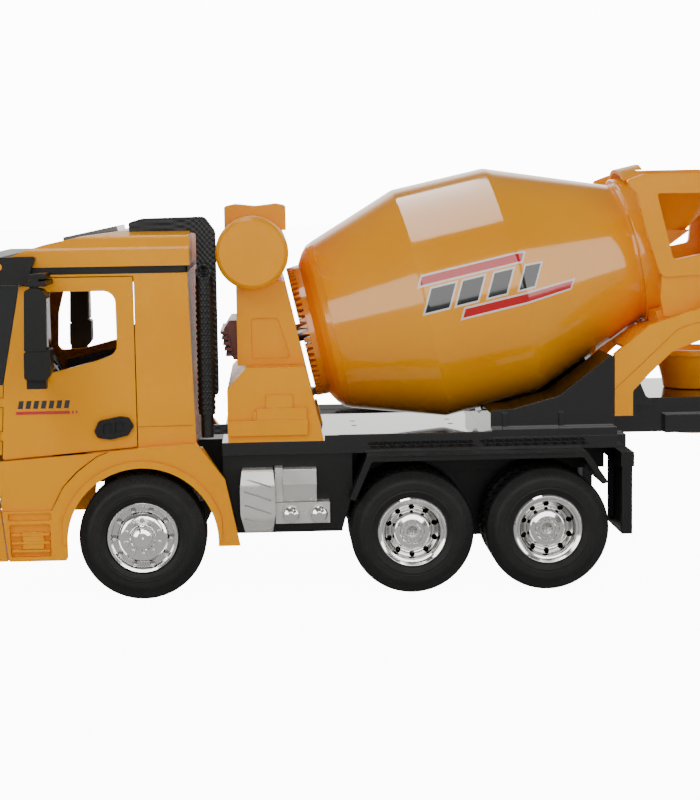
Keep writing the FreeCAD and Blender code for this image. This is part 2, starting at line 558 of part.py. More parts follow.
def door_fittings():
    """Handle, mirror head and its brackets, all fixed to the door."""
    handle = prism([(-18.8, 71.2, 1.5), (-17.0, 75.4, 2), (-8.0, 77.2, 3), (-4.4, 76.6, 1.5),
                    (-2.4, 73.0, 1.5),
                    (-5.0, 69.2, 2), (-12.0, 67.6, 3), (-17.6, 68.4, 1.5)], "xz", -CAB_Y - 1.5, -CAB_Y)
    grip = prism([(-15.4, 70.2, 0.8), (-14.8, 74.0, 0.8), (-7.0, 75.0, 1.0), (-6.0, 70.8, 0.8)], "xz",
                 -CAB_Y - 2, -CAB_Y - 0.8)
    handle = join(cut(handle, grip), box(-11.8, -10.2, -CAB_Y - 1.5, -CAB_Y - 0.4, 69.6, 75.4))
    head = prism([(-42.8, 107.0, 0.8), (-42.0, 131.6, 1.5), (-35.4, 131.6, 2.5), (-33.4, 129.0, 1),
                  (-34.0, 107.0)],
                 "xz", -88.5, -77)
    foot = prism([(-43.2, 95.6, 1.5), (-43.0, 106.4, 0.6), (-40.6, 108.0, 1), (-32.5, 108.0, 1),
                  (-32.6, 98.0, 1),
                  (-34.6, 95.2, 1)], "xz", -88.0, -77.5)
    arms = [prism([(-42.2, 132.4, 0.5), (-42.0, 134.0, 0.5), (-34.0, 134.6, 0.5), (-33.6, 132.4, 0.5)],
                  "xz", -84, -CAB_Y),
            prism([(-42.0, 134.9, 0.5), (-41.8, 137.0, 0.5), (-35.0, 137.4, 0.5), (-34.0, 135.2, 0.5)],
                  "xz", -80, -63.1),
            box(-40.6, -37.0, -83, -79, 131.0, 135.4), box(-41.0, -36.0, -63.2, -CAB_Y, 132.6, 135.6),
            box(-42.8, -35.0, -84.0, -79.0, 91.6, 95.8), box(-40.8, -37.2, -80.0, -CAB_Y, 92.2, 94.4)]
    mirror = join(head, foot, *arms)
    return [handle, mirror]


save("door_left", door())
save("door_right", flip(door()))
parts = door_fittings()
save("door_fittings_left", *parts)
save("door_fittings_right", *[flip(p) for p in parts])

ROOF = [(-60.4, 139.0), (-60.4, 145.8, 0.6), (-58.8, 146.8, 0.4), (-56.6, 151.2, 2.4), (-40, 154.6, 40),
        (0, 156.4, 90),
        (40, 154.6, 40), (56.6, 151.2, 2.4), (58.8, 146.8, 0.4), (60.4, 145.8, 0.6), (60.4, 139.0)]
CROWN = [(22.5, 154.6), (-6.4, 153.2, 60), (-25.0, 150.8, 30), (-37.4, 148.2, 20), (-46.2, 145.6, 20),
         (-53.4, 142.4, 3),
         (-55.2, 138.0)]
roof = prism(ROOF, "yz", -55.0, 22.0)
above = prism([(-56, 138), (-56, 160), (22.5, 160)] + CROWN, "xz", -70, 70)
under = prism([(-50.0, 137), (-50.0, 141.0), (-37.0, 145.0), (-8.0, 149.6), (19.4, 149.8), (19.4, 137)],
              "xz", -54.0, 54.0)
roof = cut(roof, above, under)
save("cab_roof", roof)

band = prism([(-54.6, -59.4, 2), (21.0, -59.4, 2), (21.0, 59.4, 2), (-54.6, 59.4, 2)], "xy", CAB_TOP,
             139.0)
band = cut(band, box(-52, 17.0, -55.5, 55.5, 130, 140))
wing = prism([(-44.6, 132.2, 1), (-40.2, 143.6, 1), (-68.0, 143.6), (-68.0, 132.2)], "xz", -63.0, -60.6)
visor = join(wing, flip(wing), box(-68.0, -65.6, -63.0, 63.0, 132.2, 143.6),
             box(-68.0, -55.2, -63.0, 63.0, 142.0, 143.6))
save("roof_trim", band, visor)
hatch = prism([(-33.4, 147.0), (-33.6, 150.4, 0.4), (-10.6, 155.0, 0.4), (-9.4, 151.0)], "xz", -21, 21)
save("roof_hatch", cut(hatch, roof))

duct = prism([(-3.0, 152.0), (-3.4, 156.6, 1.0), (2.0, 158.2, 1.4), (28.0, 158.6, 3), (32.4, 152.4, 4),
              (32.4, 84.0, 1),
              (24.4, 84.0, 1), (24.4, 152.0, 1)], "xz", -48.5, -38.0)
duct = cut(duct, roof)
stack = join(rod((27.6, -53.4, 76.5), (0, 0, 1), 3.45, 59.0),
             rod((27.6, -53.4, 66.8), (0, 0, 1), 2.6, 10),
             rod((27.6, -49.0, 136.2), (0, -1, 0), 3.4, 9.4), box(27.0, 36.1, -54.6, -52.0, 68.0, 72.0))
rings = [turned([(0, 2.0), (0, 3.75), (1.2, 3.75), (1.2, 2.0)], (27.6, -53.4, 78.6 + 2.4 * k),
                "z") for k in range(22)]
stack = join(stack, *rings)
stack = cut(stack, rod((27.6, -60, 136.2), (0, 1, 0), 2.4, 6.0))
save("exhaust_stack", duct, stack)

BUMPER = [(-68.0, 22.0, 4), (-68.0, 58.0, 5), (-64.4, 60.6, 1), (-60.8, 60.6), (-58.4, 38.5),
          (-56.2, 17.5), (-64.0, 17.5, 3)]
bumper = prism(BUMPER, "xz", -62.0, 62.0)
bumper = cut(bumper, prism([(-65.4, 20.0), (-65.4, 58.0), (-50, 58.0), (-50, 20.0)], "xz", -59.4, 59.4))
lamp_hole = prism([(-58.0, 37.0, 2), (-56.0, 50.0, 2), (-38.0, 48.0, 2), (-40.0, 37.0, 2)], "yz", -70,
                  -64)
intake = prism([(-32, 24.0, 1), (-34, 46.0, 1), (34, 46.0, 1), (32, 24.0, 1)], "yz", -70, -64)
bumper = cut(bumper, lamp_hole, flip(lamp_hole), intake)
save("bumper", bumper)
lamp = prism([(-57.9, 37.1, 2), (-55.9, 49.9, 2), (-38.1, 47.9, 2), (-40.1, 37.1, 2)], "yz", -67.6, -65.4)
save("headlamps", pair(lamp))
slats = [box(-66.6, -64.0, -40, 40, 64.0 + 5.0 * k, 67.2 + 5.0 * k) for k in range(5)]
low = [box(-67.2, -65.4, -31.8, 31.8, 26.5 + 5.0 * k, 29.0 + 5.0 * k) for k in range(4)]
bars = [box(-66.2, -65.4, y - 1, y + 1, 24.2, 45.8) for y in (-20, 0, 20)]
frame_up = join(box(-65.4, -64.0, -42, 42, 62.5, 89.5), *slats)
frame_low = join(*(low + bars))
save("grille", frame_up, frame_low)

# wheel arches, corner panels and steps under the doors
arch = turned([(-5, 0), (-5, 31.4), (10, 31.4), (10, 0)], (0, -60, 24.2), "y")
FENDER_F = [(-37.2, 38.6), (-32.2, 48.2, 6), (-26.0, 54.6, 8), (-18.0, 60.6, 6), (-12.0, 62.9, 4),
            (-1.2, 63.7), (-1.2, 64.1), (23.2, 65.4, 1), (34.6, 50.0, 3), (40.4, 22.0), (30.0, 22.0),
            (-31.4, 22.0), (-31.4, 38.6)]
skin = cut(prism(FENDER_F, "xz", -62.6, -60.0), arch, box(-40, 31.2, -70, -50, 10, 24.4))
liner = cut(prism([(23.4, 63.0), (31.0, 50.6), (37.0, 24.0), (39.6, 24.0), (33.2, 50.6), (25.4, 63.0)],
                  "xz", -60.0, -54.4))
arch_lip = cut(turned([(0, 31.4), (0, 34.4), (0.8, 33.8), (0.8, 31.4)], (0, -63.4, 24.2), "y"),
               box(-60, 60, -70, -50, -10, 24.4))
lip_trim = prism([(-33, 24.4), (-33, 60), (33, 60), (33, 24.4)], "xz", -70, -50)
skin = join(skin, arch_lip.common(lip_trim))
corner = prism([(-60.2, 59.2), (-57.8, 38.6), (-37.6, 38.6), (-32.6, 48.4, 6), (-26.4, 54.8, 8),
                (-18.4, 60.6, 3), (-14.0, 62.4)],
               "xz", -61.6, -60.0)
flange = join(box(-57, -37, -57.0, -50.0, 57.0, FLOOR), box(-57, -37, -60.0, -57.0, 57.0, 59.2))
corner = join(corner, flange)
stair = prism([(-57.8, 38.6), (-55.6, 17.5, 1), (-31.4, 17.5, 1), (-31.4, 38.6)], "xz", -62.6, -59.6)
stair = cut(stair, prism([(-55.4, 34.6, 0.8), (-55.4, 37.6, 0.8), (-37.6, 37.6, 0.8), (-37.6, 34.6, 0.8)],
                         "xz", -64, -61.4),
            prism([(-54.6, 19.4, 0.8), (-55.0, 33.0, 0.8), (-38.0, 33.0, 0.8), (-38.0, 19.4, 0.8)], "xz",
                  -64, -61.0))
tread = [box(-54.2, -38.4, -62.6, -61.0, 21.4 + 3.4 * k, 22.4 + 3.4 * k) for k in range(3)]
stair = join(stair, box(-49.6, -41.0, -62.4, -60.9, 22.6, 29.8), *tread)
save("cab_lower_panels", pair(skin), pair(corner), pair(stair), pair(liner))

# seats, dashboard and steering wheel
seats = []
for y in (-29, 29):
    seats.append(prism([(-24, FLOOR + 2.5), (-24, 80, 2), (-8, 82, 3), (-2.0, 116.0, 3), (5.0, 116.0, 3),
                        (6.0, FLOOR + 2.5)],
                       "xz", y - 15, y + 15))
dash = prism([(-60.9, FLOOR + 2.5), (-60.9, 88.0), (-57.0, 93.5, 1), (-48.0, 95.0, 3), (-44.0, 88.0, 2),
              (-47.0, FLOOR + 2.5)],
             "xz", -52.8, 52.8)
column = rod((-47.0, -29, 88.0), (0.80, 0, 0.60), 1.8, 11.0)
wheel = Part.makeTorus(9.0, 1.1, V(-38.2, -29, 94.6), V(0.80, 0, 0.60))
spoke = rod((-38.2, -38.0, 94.6), (0, 1, 0), 0.9, 18.0)
hub = rod((-38.8, -29, 94.1), (0.80, 0, 0.60), 2.6, 1.8)
save("cab_interior", seats, join(dash, column, wheel, spoke, hub))

# ------------------------------------------------------------------- the drum
profile = [DRUM[0], DRUM[1] + (6,), DRUM[2] + (6,), DRUM[3] + (2,), (COLLAR_S[0], DRUM[3][1]),
           (COLLAR_S[0], COLLAR_R, 0.6), (COLLAR_S[1], COLLAR_R, 0.6), (COLLAR_S[1], 28.4),
           (COLLAR_S[1] - 2, 28.4),
           (DRUM[3][0] + 0.5, DRUM[3][1] - WALL), (DRUM[2][0] - 0.5, DRUM[2][1] - WALL, 6),
           (DRUM[1][0] + 0.4, DRUM[1][1] - WALL, 6), (3.0, 37.3), (0.0, 36.2)]
save("drum_shell", tilt(turned(profile, (0, 0, 0), "x")))

cap = turned([(-8.0, 4.0), (-8.0, 29.6, 0.4), (-6.9, 31.6, 1), (-5.4, 34.0, 2), (-2.8, 36.9, 2),
              (0.0, 38.2), (0.0, 36.2),
              (-3.6, 34.2), (-5.6, 30.0), (-5.6, 9.0), (-2.4, 9.0), (-2.4, 4.0)], (0, 0, 0), "x")
save("drum_cap", tilt(cap))

ring = turned([(-8.0, 24.4), (-8.0, 29.4), (TOOTH_ROOT, 29.4), (TOOTH_ROOT, 24.4)], (0, 0, 0), "x")
tooth = prism([(TOOTH_ROOT + 0.4, -0.95), (TOOTH_ROOT, -0.95), (TOOTH_TIP, -0.22), (TOOTH_TIP, 0.22),
               (TOOTH_ROOT, 0.95), (TOOTH_ROOT + 0.4, 0.95)], "xy", -29.2, -24.8)
ring = join(ring, *ring_of(tooth, (0, 0, 0), (1, 0, 0), FACE_TEETH, 180.0 / FACE_TEETH))
save("drum_ring_gear", tilt(ring))

cavity = turned([(3.2, 0), (3.2, 37.36), (40.4, 50.0, 6), (81.0, 49.7, 6), (132.0, 30.15), (132.0, 0)],
                (0, 0, 0), "x")
bore = turned([(0, 0), (0, 26.0), (40.4, 40.0), (81.0, 39.7), (140.0, 18.0), (140.0, 0)], (0, 0, 0), "x")
blades = ring_of(box(6, 131, -0.8, 0.8, 15, 60), (0, 0, 0), (1, 0, 0), 4, 20.0)
blades = [cut(b.common(cavity), bore) for b in blades]
save("mixing_blades", *[tilt(b) for b in blades])
save("drum_shaft", tilt(rod((SHAFT_S[0], 0, 0), (1, 0, 0), 4.0, SHAFT_S[1] - SHAFT_S[0])))

mixer_module = 2 * FACE_R / FACE_TEETH
mixer_pinion = moved(spur(PINION_TEETH, mixer_module, 3.2, 1.0, 0, 0.3), PIN_S, 0, -28.6)
mixer_shaft = rod((PIN_S, 0, -53.0), (0, 0, 1), 1.0, 27.6)
save("mixer_pinion", tilt(mixer_pinion), tilt(mixer_shaft))

# ------------------------------------------------- rear frame, hopper and chute
ARMS = [(200, 71.6), (200, 97.9), (214.9, 110.0, 4), (236.2, 116.6, 6), (242, 118), (254, 118),
        (254, 107, 2),
        (236, 103.0, 4), (224.8, 98.8, 4), (215.0, 89.6, 3), (207.8, 82.1, 2), (207.8, 71.6)]
arm = prism(ARMS, "xz", -50.0, -46.0)
crease = prism([(199, 81.8), (199, 82.3), (227.0, 108.4), (233.8, 110.6), (256, 112.6), (256, 112.2),
                (233.9, 110.2),
                (227.2, 108.0)], "xz", -51, -49.7)
cradle = tilt(cut(box(136.2, 141.0, -36.0, 36.0, -44.0, -25.0),
                  rod((130, 0, 0), (1, 0, 0), COLLAR_R + 0.08, 20)))
tie = box(200, 204, -46, 46, 78.0, 92.0)
web = prism([(206.0, 100.6), (214.6, 107.4, 3), (229.0, 111.6), (229.0, 109.4), (215.6, 105.6, 3),
             (207.0, 99.0)],
            "xz", -46.0, 46.0)
web = cut(web, tilt(rod((134, 0, 0), (1, 0, 0), COLLAR_R + 0.4, 9)))
frame = cut(join(arm, flip(arm), cradle, web, tie), crease, flip(crease))
frame = cut(frame, tilt(turned([(60, 0), (60, 62), (136.2, 31.6), (136.2, 0)], (0, 0, 0), "x")))
save("rear_frame", frame)

SIDE = [(206.4, 170.8, 1), (214.0, 173.6, 3), (262.0, 173.6, 1), (262.0, 128.0, 3), (254.0, 118.0),
        (240.0, 118.0, 1),
        (240.0, 130.4, 1), (221.6, 129.6, 4), (218.8, 138.0, 8), (214.4, 152.0, 12), (211.0, 165.6, 2)]
LIGHT = [(219.6, 165.2, 1), (226.8, 137.0, 2), (252.0, 142.0, 2), (254.0, 165.2, 2)]
side = cut(prism(SIDE, "xz", -41.6, -38.6), prism(LIGHT, "xz", -50, -30))
foot = box(240.0, 254.0, -50.0, -40.0, 118.0, 121.0)
skirt = prism([(222.2, 132.0), (221.4, 121.0, 3), (223.0, 112.6, 1), (262, 118.6), (262, 132)], "xz",
              -40.8, -38.6)
side = join(side, skirt, foot)
top = cut(box(217.5, 262.0, -38.6, 38.6, 171.0, 173.6), rod((240.5, 0, 160), (0, 0, 1), 24.6, 20))
rear_plate = cut(box(259.6, 262.0, -38.6, 38.6, 128.0, 171.0),
                 prism([(-28, 140, 3), (-24, 162, 3), (24, 162, 3), (28, 140, 3)],
                                                                  "yz", 250, 270))
hood = cut(rod((138.6, 0, 0), (1, 0, 0), 37.0, 9.0), rod((138, 0, 0), (1, 0, 0), 35.4,
                                                         11)).common(box(130, 160, -16, 16, 20, 45))
wall = box(216.6, 219.0, -16, 16, 171.0, 178.0).common(tilt(rod((138.6, 0, 0), (1, 0, 0), 37.0, 14)))
wall = cut(wall, tilt(rod((138, 0, 0), (1, 0, 0), COLLAR_R + 0.5, 14)))
hopper = cut(join(side, flip(side), top, rear_plate, tilt(hood), wall),
             rod((240.5, 0, 173.6), (0, 0, 1), 27.3, 1.9))


def cone(r0, r1):
    low = Part.Wire(Part.makeCircle(r0, V(231.0, 0, 149.0), V(0, 0, 1)))
    high = Part.Wire(Part.makeCircle(r1, V(240.5, 0, 173.6), V(0, 0, 1)))
    return Part.makeLoft([low, high], True)


save("hopper_frame", cut(hopper, cone(10.2, 24.6)))
funnel = cut(cone(10.2, 24.6), cone(8.6, 23.0))
lip = turned([(173.6, 23.0), (173.6, 27.0), (175.2, 27.0, 0.5), (175.2, 23.0)], (240.5, 0, 0), "z")
spout = cut(prism([(221.0, 140.6), (226.0, 138.0), (241.2, 149.0), (220.8, 149.0)], "xz", -10.2, 10.2),
            prism([(220.0, 142.6), (227.0, 139.0), (239.6, 150.0), (222.4, 150.0)], "xz", -8.6, 8.6))
save("hopper_funnel", join(funnel, lip, spout))

pot = turned([(78.2, 0.0), (78.2, 13.2, 0.6), (82.0, 13.8), (93.0, 16.6), (93.0, 17.8, 0.4),
              (95.8, 17.8, 0.4), (95.8, 15.6),
              (82.0, 12.0), (80.6, 0.0)], (POT_X, 0, 0), "z")
pivot = rod((POT_X, 0, 63.0), (0, 0, 1), 5.0, 16.0)
plate = rod((POT_X, 0, 58.4), (0, 0, 1), 13.2, 4.6)
mouth = prism([(255.0, 80.9), (255.0, 88.8), (268.4, 88.8, 3), (268.4, 80.9)], "xz", -11.8, 11.8)
way = box(250, 270, -10.0, 10.0, 82.4, 100)
inside_pot = turned([(80.6, 0), (82.0, 12.0), (95.8, 15.6), (96.5, 15.6), (96.5, 0)], (POT_X, 0, 0), "z")
pegs = [rod((FOLD[0], s * 11.5, FOLD[1]), (0, s, 0), 1.2, 2.7) for s in (-1, 1)]
pot = join(pot, pivot, mouth, *pegs)
pot = cut(pot, way.cut(box(250, 270, -11, 11, 96, 110)), inside_pot)
save("chute_base", pot, plate)

trough = prism([(-14.2, 79.4, 1), (-14.2, 90.0), (-12.0, 90.0), (-12.0, 80.8, 0.6), (12.0, 80.8, 0.6),
                (12.0, 90.0),
                (14.2, 90.0), (14.2, 79.4, 1)], "yz", 262.2, 292.0)
trough = cut(trough, prism([(276, 95), (290.5, 86.5), (300, 86.5), (300, 95)], "xz", -20, 20))
trough = cut(trough, rod((FOLD[0], -20, FOLD[1]), (0, 1, 0), 1.2 + RUN, 40))
trough = cut(trough, box(255, 269.2, -12.05, 12.05, 70, 95))
save("chute_trough", trough)
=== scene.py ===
import bpy
import bmesh
import json
import math
from mathutils import Matrix, Vector


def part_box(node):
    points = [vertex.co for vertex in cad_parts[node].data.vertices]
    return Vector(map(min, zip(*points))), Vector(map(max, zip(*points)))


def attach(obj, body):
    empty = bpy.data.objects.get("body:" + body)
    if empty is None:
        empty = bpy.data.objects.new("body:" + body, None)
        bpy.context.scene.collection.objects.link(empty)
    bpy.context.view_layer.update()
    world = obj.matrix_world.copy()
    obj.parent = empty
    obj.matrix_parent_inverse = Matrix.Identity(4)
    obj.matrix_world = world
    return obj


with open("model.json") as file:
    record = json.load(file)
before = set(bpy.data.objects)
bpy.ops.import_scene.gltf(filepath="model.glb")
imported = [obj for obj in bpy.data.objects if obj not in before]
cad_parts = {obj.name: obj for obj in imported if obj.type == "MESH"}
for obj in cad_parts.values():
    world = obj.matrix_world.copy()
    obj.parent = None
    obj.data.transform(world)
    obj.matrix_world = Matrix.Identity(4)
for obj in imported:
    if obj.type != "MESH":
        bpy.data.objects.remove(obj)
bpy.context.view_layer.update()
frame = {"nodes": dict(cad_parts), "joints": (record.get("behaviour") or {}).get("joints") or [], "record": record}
N = frame["nodes"]
SLOT = {s["node"]: s["material_slot"] for s in frame["record"]["subparts"]}
JOINT = {j["name"]: j for j in frame["joints"]}
MM = 0.001

CAB_FACE = 60.0       # the doors' outer face, mm from the middle plane
PRINT = 0.06          # thickness of printed marks, mm
BARREL_R = 51.0       # radius of the drum's barrel, mm
DECK_TOP = 64.5       # mm above the ground
GUARD_TOP = 62.0      # top of the rear mudguards, mm above the ground
GLASS_FOOT = (-176.9, 92.0)   # x and z of the windscreen's lower edge, mm
GLASS_LEAN = 0.1875   # how far the windscreen leans back per mm of height
WHITE_SKY = 13.0      # what the camera sees behind the truck
WHITE_FLOOR = 11.0    # glow of the floor for the camera only
PANEL_R = 1.6         # distance of the standing light panels, m
LIGHT_AIM = (0, 0, 0.08)


# ------------------------------------------------------------------ materials
class Tree:
    """A material's nodes, with short calls for the ones used here."""

    def __init__(self, name):
        self.mat = bpy.data.materials.new(name)
        self.mat.use_nodes = True
        self.t = self.mat.node_tree
        self.bsdf = self.t.nodes["Principled BSDF"]
        self.out = self.t.nodes["Material Output"]
        self.place = self.add("ShaderNodeTexCoord").outputs["Object"]

    def add(self, kind, **settings):
        n = self.t.nodes.new(kind)
        for k, v in settings.items():
            setattr(n, k, v)
        return n

    def put(self, socket, value):
        if isinstance(value, bpy.types.NodeSocket):
            self.t.links.new(value, socket)
        elif isinstance(value, tuple) and len(value) == 3 and socket.type == "RGBA":
            socket.default_value = (*value, 1.0)
        else:
            socket.default_value = value

    def math(self, op, *values, clamp=False):
        n = self.add("ShaderNodeMath", operation=op, use_clamp=clamp)
        for s, v in zip(n.inputs, values):
            self.put(s, v)
        return n.outputs[0]

    def dot(self, vector, direction):
        n = self.add("ShaderNodeVectorMath", operation="DOT_PRODUCT")
        self.put(n.inputs[0], vector)
        self.put(n.inputs[1], tuple(direction))
        return n.outputs["Value"]

    def away(self, origin):
        n = self.add("ShaderNodeVectorMath", operation="SUBTRACT")
        self.put(n.inputs[0], self.place)
        self.put(n.inputs[1], tuple(origin))
        return n.outputs[0]

    def noise(self, scale, detail=2.0, vector=None):
        n = self.add("ShaderNodeTexNoise")
        self.put(n.inputs["Vector"], vector or self.place)
        self.put(n.inputs["Scale"], scale)
        self.put(n.inputs["Detail"], detail)
        return n.outputs["Fac"]

    def remap(self, value, a, b, c, d):
        n = self.add("ShaderNodeMapRange")
        for s, v in zip(n.inputs, (value, a, b, c, d)):
            self.put(s, v)
        return n.outputs[0]

    def mix(self, factor, a, b):
        n = self.add("ShaderNodeMix", data_type="RGBA")
        self.put(n.inputs[0], factor)
        self.put(n.inputs[6], a)
        self.put(n.inputs[7], b)
        return n.outputs[2]

    def near(self, value, centre, half):
        return self.math("COMPARE", value, centre, half)

    def bump(self, height, distance, strength=1.0, normal=None):
        n = self.add("ShaderNodeBump")
        self.put(n.inputs["Height"], height)
        self.put(n.inputs["Distance"], distance)
        self.put(n.inputs["Strength"], strength)
        if normal is not None:
            self.put(n.inputs["Normal"], normal)
        return n.outputs[0]


def moulded(name, colour, dark, light, rough, spread=0.05, metal=0.0, coat=0.0, spec=0.5, grain=900.0,
            depth=0.03, edge=0.35, crease_shade_amount=0.6, reach=2.0, glow=0.0, extra=None):
    """Moulded part: tone drift, painted shade in the creases, paler rounded edges, smudged gloss and a fine skin.
    """
    s = Tree(name)
    round_edge = s.add("ShaderNodeBevel", samples=3)
    s.put(round_edge.inputs["Radius"], edge * MM)
    flat = s.add("ShaderNodeNewGeometry").outputs["Normal"]
    turn = s.add("ShaderNodeVectorMath", operation="DOT_PRODUCT")
    s.put(turn.inputs[0], round_edge.outputs[0])
    s.put(turn.inputs[1], flat)
    worn = s.remap(turn.outputs["Value"], 0.97, 0.80, 0.0, 0.55)
    worn = s.math("MULTIPLY", worn, s.remap(s.noise(160, 3), 0.35, 0.7, 0.15, 1.0))
    # painted shade: creases found by ambient occlusion are darkened in the colour, towards the dark tone
    hollow = s.add("ShaderNodeAmbientOcclusion", samples=3)
    s.put(hollow.inputs["Distance"], reach * MM)
    painted_crease_shade = s.remap(hollow.outputs["AO"], 0.15, 0.75, crease_shade_amount, 0.0)
    tone = s.mix(s.remap(s.noise(22, 2), 0.35, 0.65, 0.0, 0.16), colour, dark)
    tone = s.mix(worn, tone, light)
    tone = s.mix(painted_crease_shade, tone, dark)
    smudge = s.remap(s.noise(70, 4), 0.3, 0.7, rough - spread, rough + spread)
    skin = s.bump(s.noise(grain, 3), depth * MM, 1.0, round_edge.outputs[0])
    if extra is not None:
        tone, smudge, skin = extra(s, tone, smudge, skin)
    s.put(s.bsdf.inputs["Base Color"], tone)
    s.put(s.bsdf.inputs["Roughness"], smudge)
    s.put(s.bsdf.inputs["Metallic"], metal)
    s.put(s.bsdf.inputs["Specular IOR Level"], spec)
    s.put(s.bsdf.inputs["Coat Weight"], coat)
    s.put(s.bsdf.inputs["Coat Roughness"], 0.04)
    s.put(s.bsdf.inputs["Normal"], skin)
    if glow:
        s.put(s.bsdf.inputs["Emission Color"], tone)
        s.put(s.bsdf.inputs["Emission Strength"], glow)
    return s.mat


YELLOW, ORANGE, PALE = (1.0, 0.40, 0.0), (0.80, 0.17, 0.0), (1.0, 0.60, 0.08)


def drum_bands(s, tone, smudge, skin):
    """Plain slanted bars and two straight stripes with white edges, on both sides of the barrel."""
    lo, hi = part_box("drum_shell")
    centre = (lo + hi) / 2
    centre.y = 0
    a = DRUM_AXIS
    across = Vector((0, -1, 0))
    up = across.cross(a)
    if up.z < 0:
        up = -up
    p = s.away(centre)
    along = s.dot(p, a / MM)
    side = s.math("ABSOLUTE", s.dot(p, across / MM))
    high = s.math("MULTIPLY", s.math("ARCTAN2", s.dot(p, up / MM), side), BARREL_R)
    lean = s.math("SUBTRACT", along, s.math("MULTIPLY", high, 0.55))
    bars = [(-27.0 + 13.0 * k, 5.2 - 0.6 * k, 6.0, 4.6) for k in range(4)]
    stripes = [(-16.0, 22.0, 14.6, 1.7), (10.0, 24.0, -2.6, 1.7)]
    white = red = black = None
    for i, (c, w, h, t) in enumerate(bars + stripes):
        def patch(grow):
            return s.math("MULTIPLY", s.near(lean, c, w + grow), s.near(high, h, t + grow))
        rim, body = patch(0.8), patch(0.0)
        white = rim if white is None else s.math("MAXIMUM", white, rim)
        if i < len(bars):
            black = body if black is None else s.math("MAXIMUM", black, body)
        else:
            red = body if red is None else s.math("MAXIMUM", red, body)
    tone = s.mix(white, tone, (0.86, 0.84, 0.80))
    tone = s.mix(black, tone, (0.012, 0.012, 0.012))
    tone = s.mix(red, tone, (0.62, 0.004, 0.006))
    return tone, smudge, skin


def tyre_skin(node):
    """Fine rings on the side wall and short radial ribs at the shoulder."""
    lo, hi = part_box(node)
    centre = (lo + hi) / 2
    radius = (hi.z - lo.z) / 2 / MM

    def extra(s, tone, smudge, skin):
        p = s.away(centre)
        x, z = s.dot(p, (1 / MM, 0, 0)), s.dot(p, (0, 0, 1 / MM))
        r = s.math("SQRT", s.math("ADD", s.math("MULTIPLY", x, x), s.math("MULTIPLY", z, z)))
        turn = s.math("ARCTAN2", z, x)
        rings = s.math("MULTIPLY", s.math("SINE", s.math("MULTIPLY", r, 5.2)),
                       s.near(r, radius - 8.6, 1.1))
        ribs = s.math("SINE", s.math("MULTIPLY", turn, 150))
        ribs = s.math("MULTIPLY", ribs, s.near(r, radius - 2.4, 1.2))
        line = s.near(r, radius - 5.4, 0.16)
        height = s.math("ADD", s.math("ADD", rings, ribs), s.math("MULTIPLY", line, 2.0))
        skin = s.bump(height, 0.06 * MM, 0.6, skin)
        dust = s.remap(s.noise(95, 5), 0.45, 0.8, 0.0, 0.22)
        return s.mix(dust, tone, (0.035, 0.033, 0.029)), smudge, skin
    return extra


def punched(s, tone, smudge, skin):
    """Rows of small holes round the stack: a bump dents them, and painted shade makes them near black."""
    p = s.away(STACK)
    turn = s.math("ARCTAN2", s.dot(p, (1 / MM, 0, 0)), s.math("ABSOLUTE", s.dot(p, (0, 1 / MM, 0))))
    z = s.dot(s.place, (0, 0, 1 / MM))
    wave = s.math("MULTIPLY", s.math("SINE", s.math("MULTIPLY", turn, 16)),
                  s.math("SINE", s.math("MULTIPLY", z, 2.62)))
    # painted shade: the holes are darkened to near black in the colour
    painted_hole_shade = s.remap(wave, 0.35, 0.6, 0.0, 0.8)
    skin = s.bump(s.math("MULTIPLY", wave, -1), 0.12 * MM, 0.5, skin)
    return s.mix(painted_hole_shade, tone, (0.002, 0.002, 0.002)), smudge, skin


DRUM_AXIS = Vector(JOINT["drum_spin"]["axis"]).normalized()
if DRUM_AXIS.x < 0:
    DRUM_AXIS = -DRUM_AXIS
lo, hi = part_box("exhaust_stack")
STACK = Vector((hi.x - 8.5 * MM, -53.4 * MM, 0))

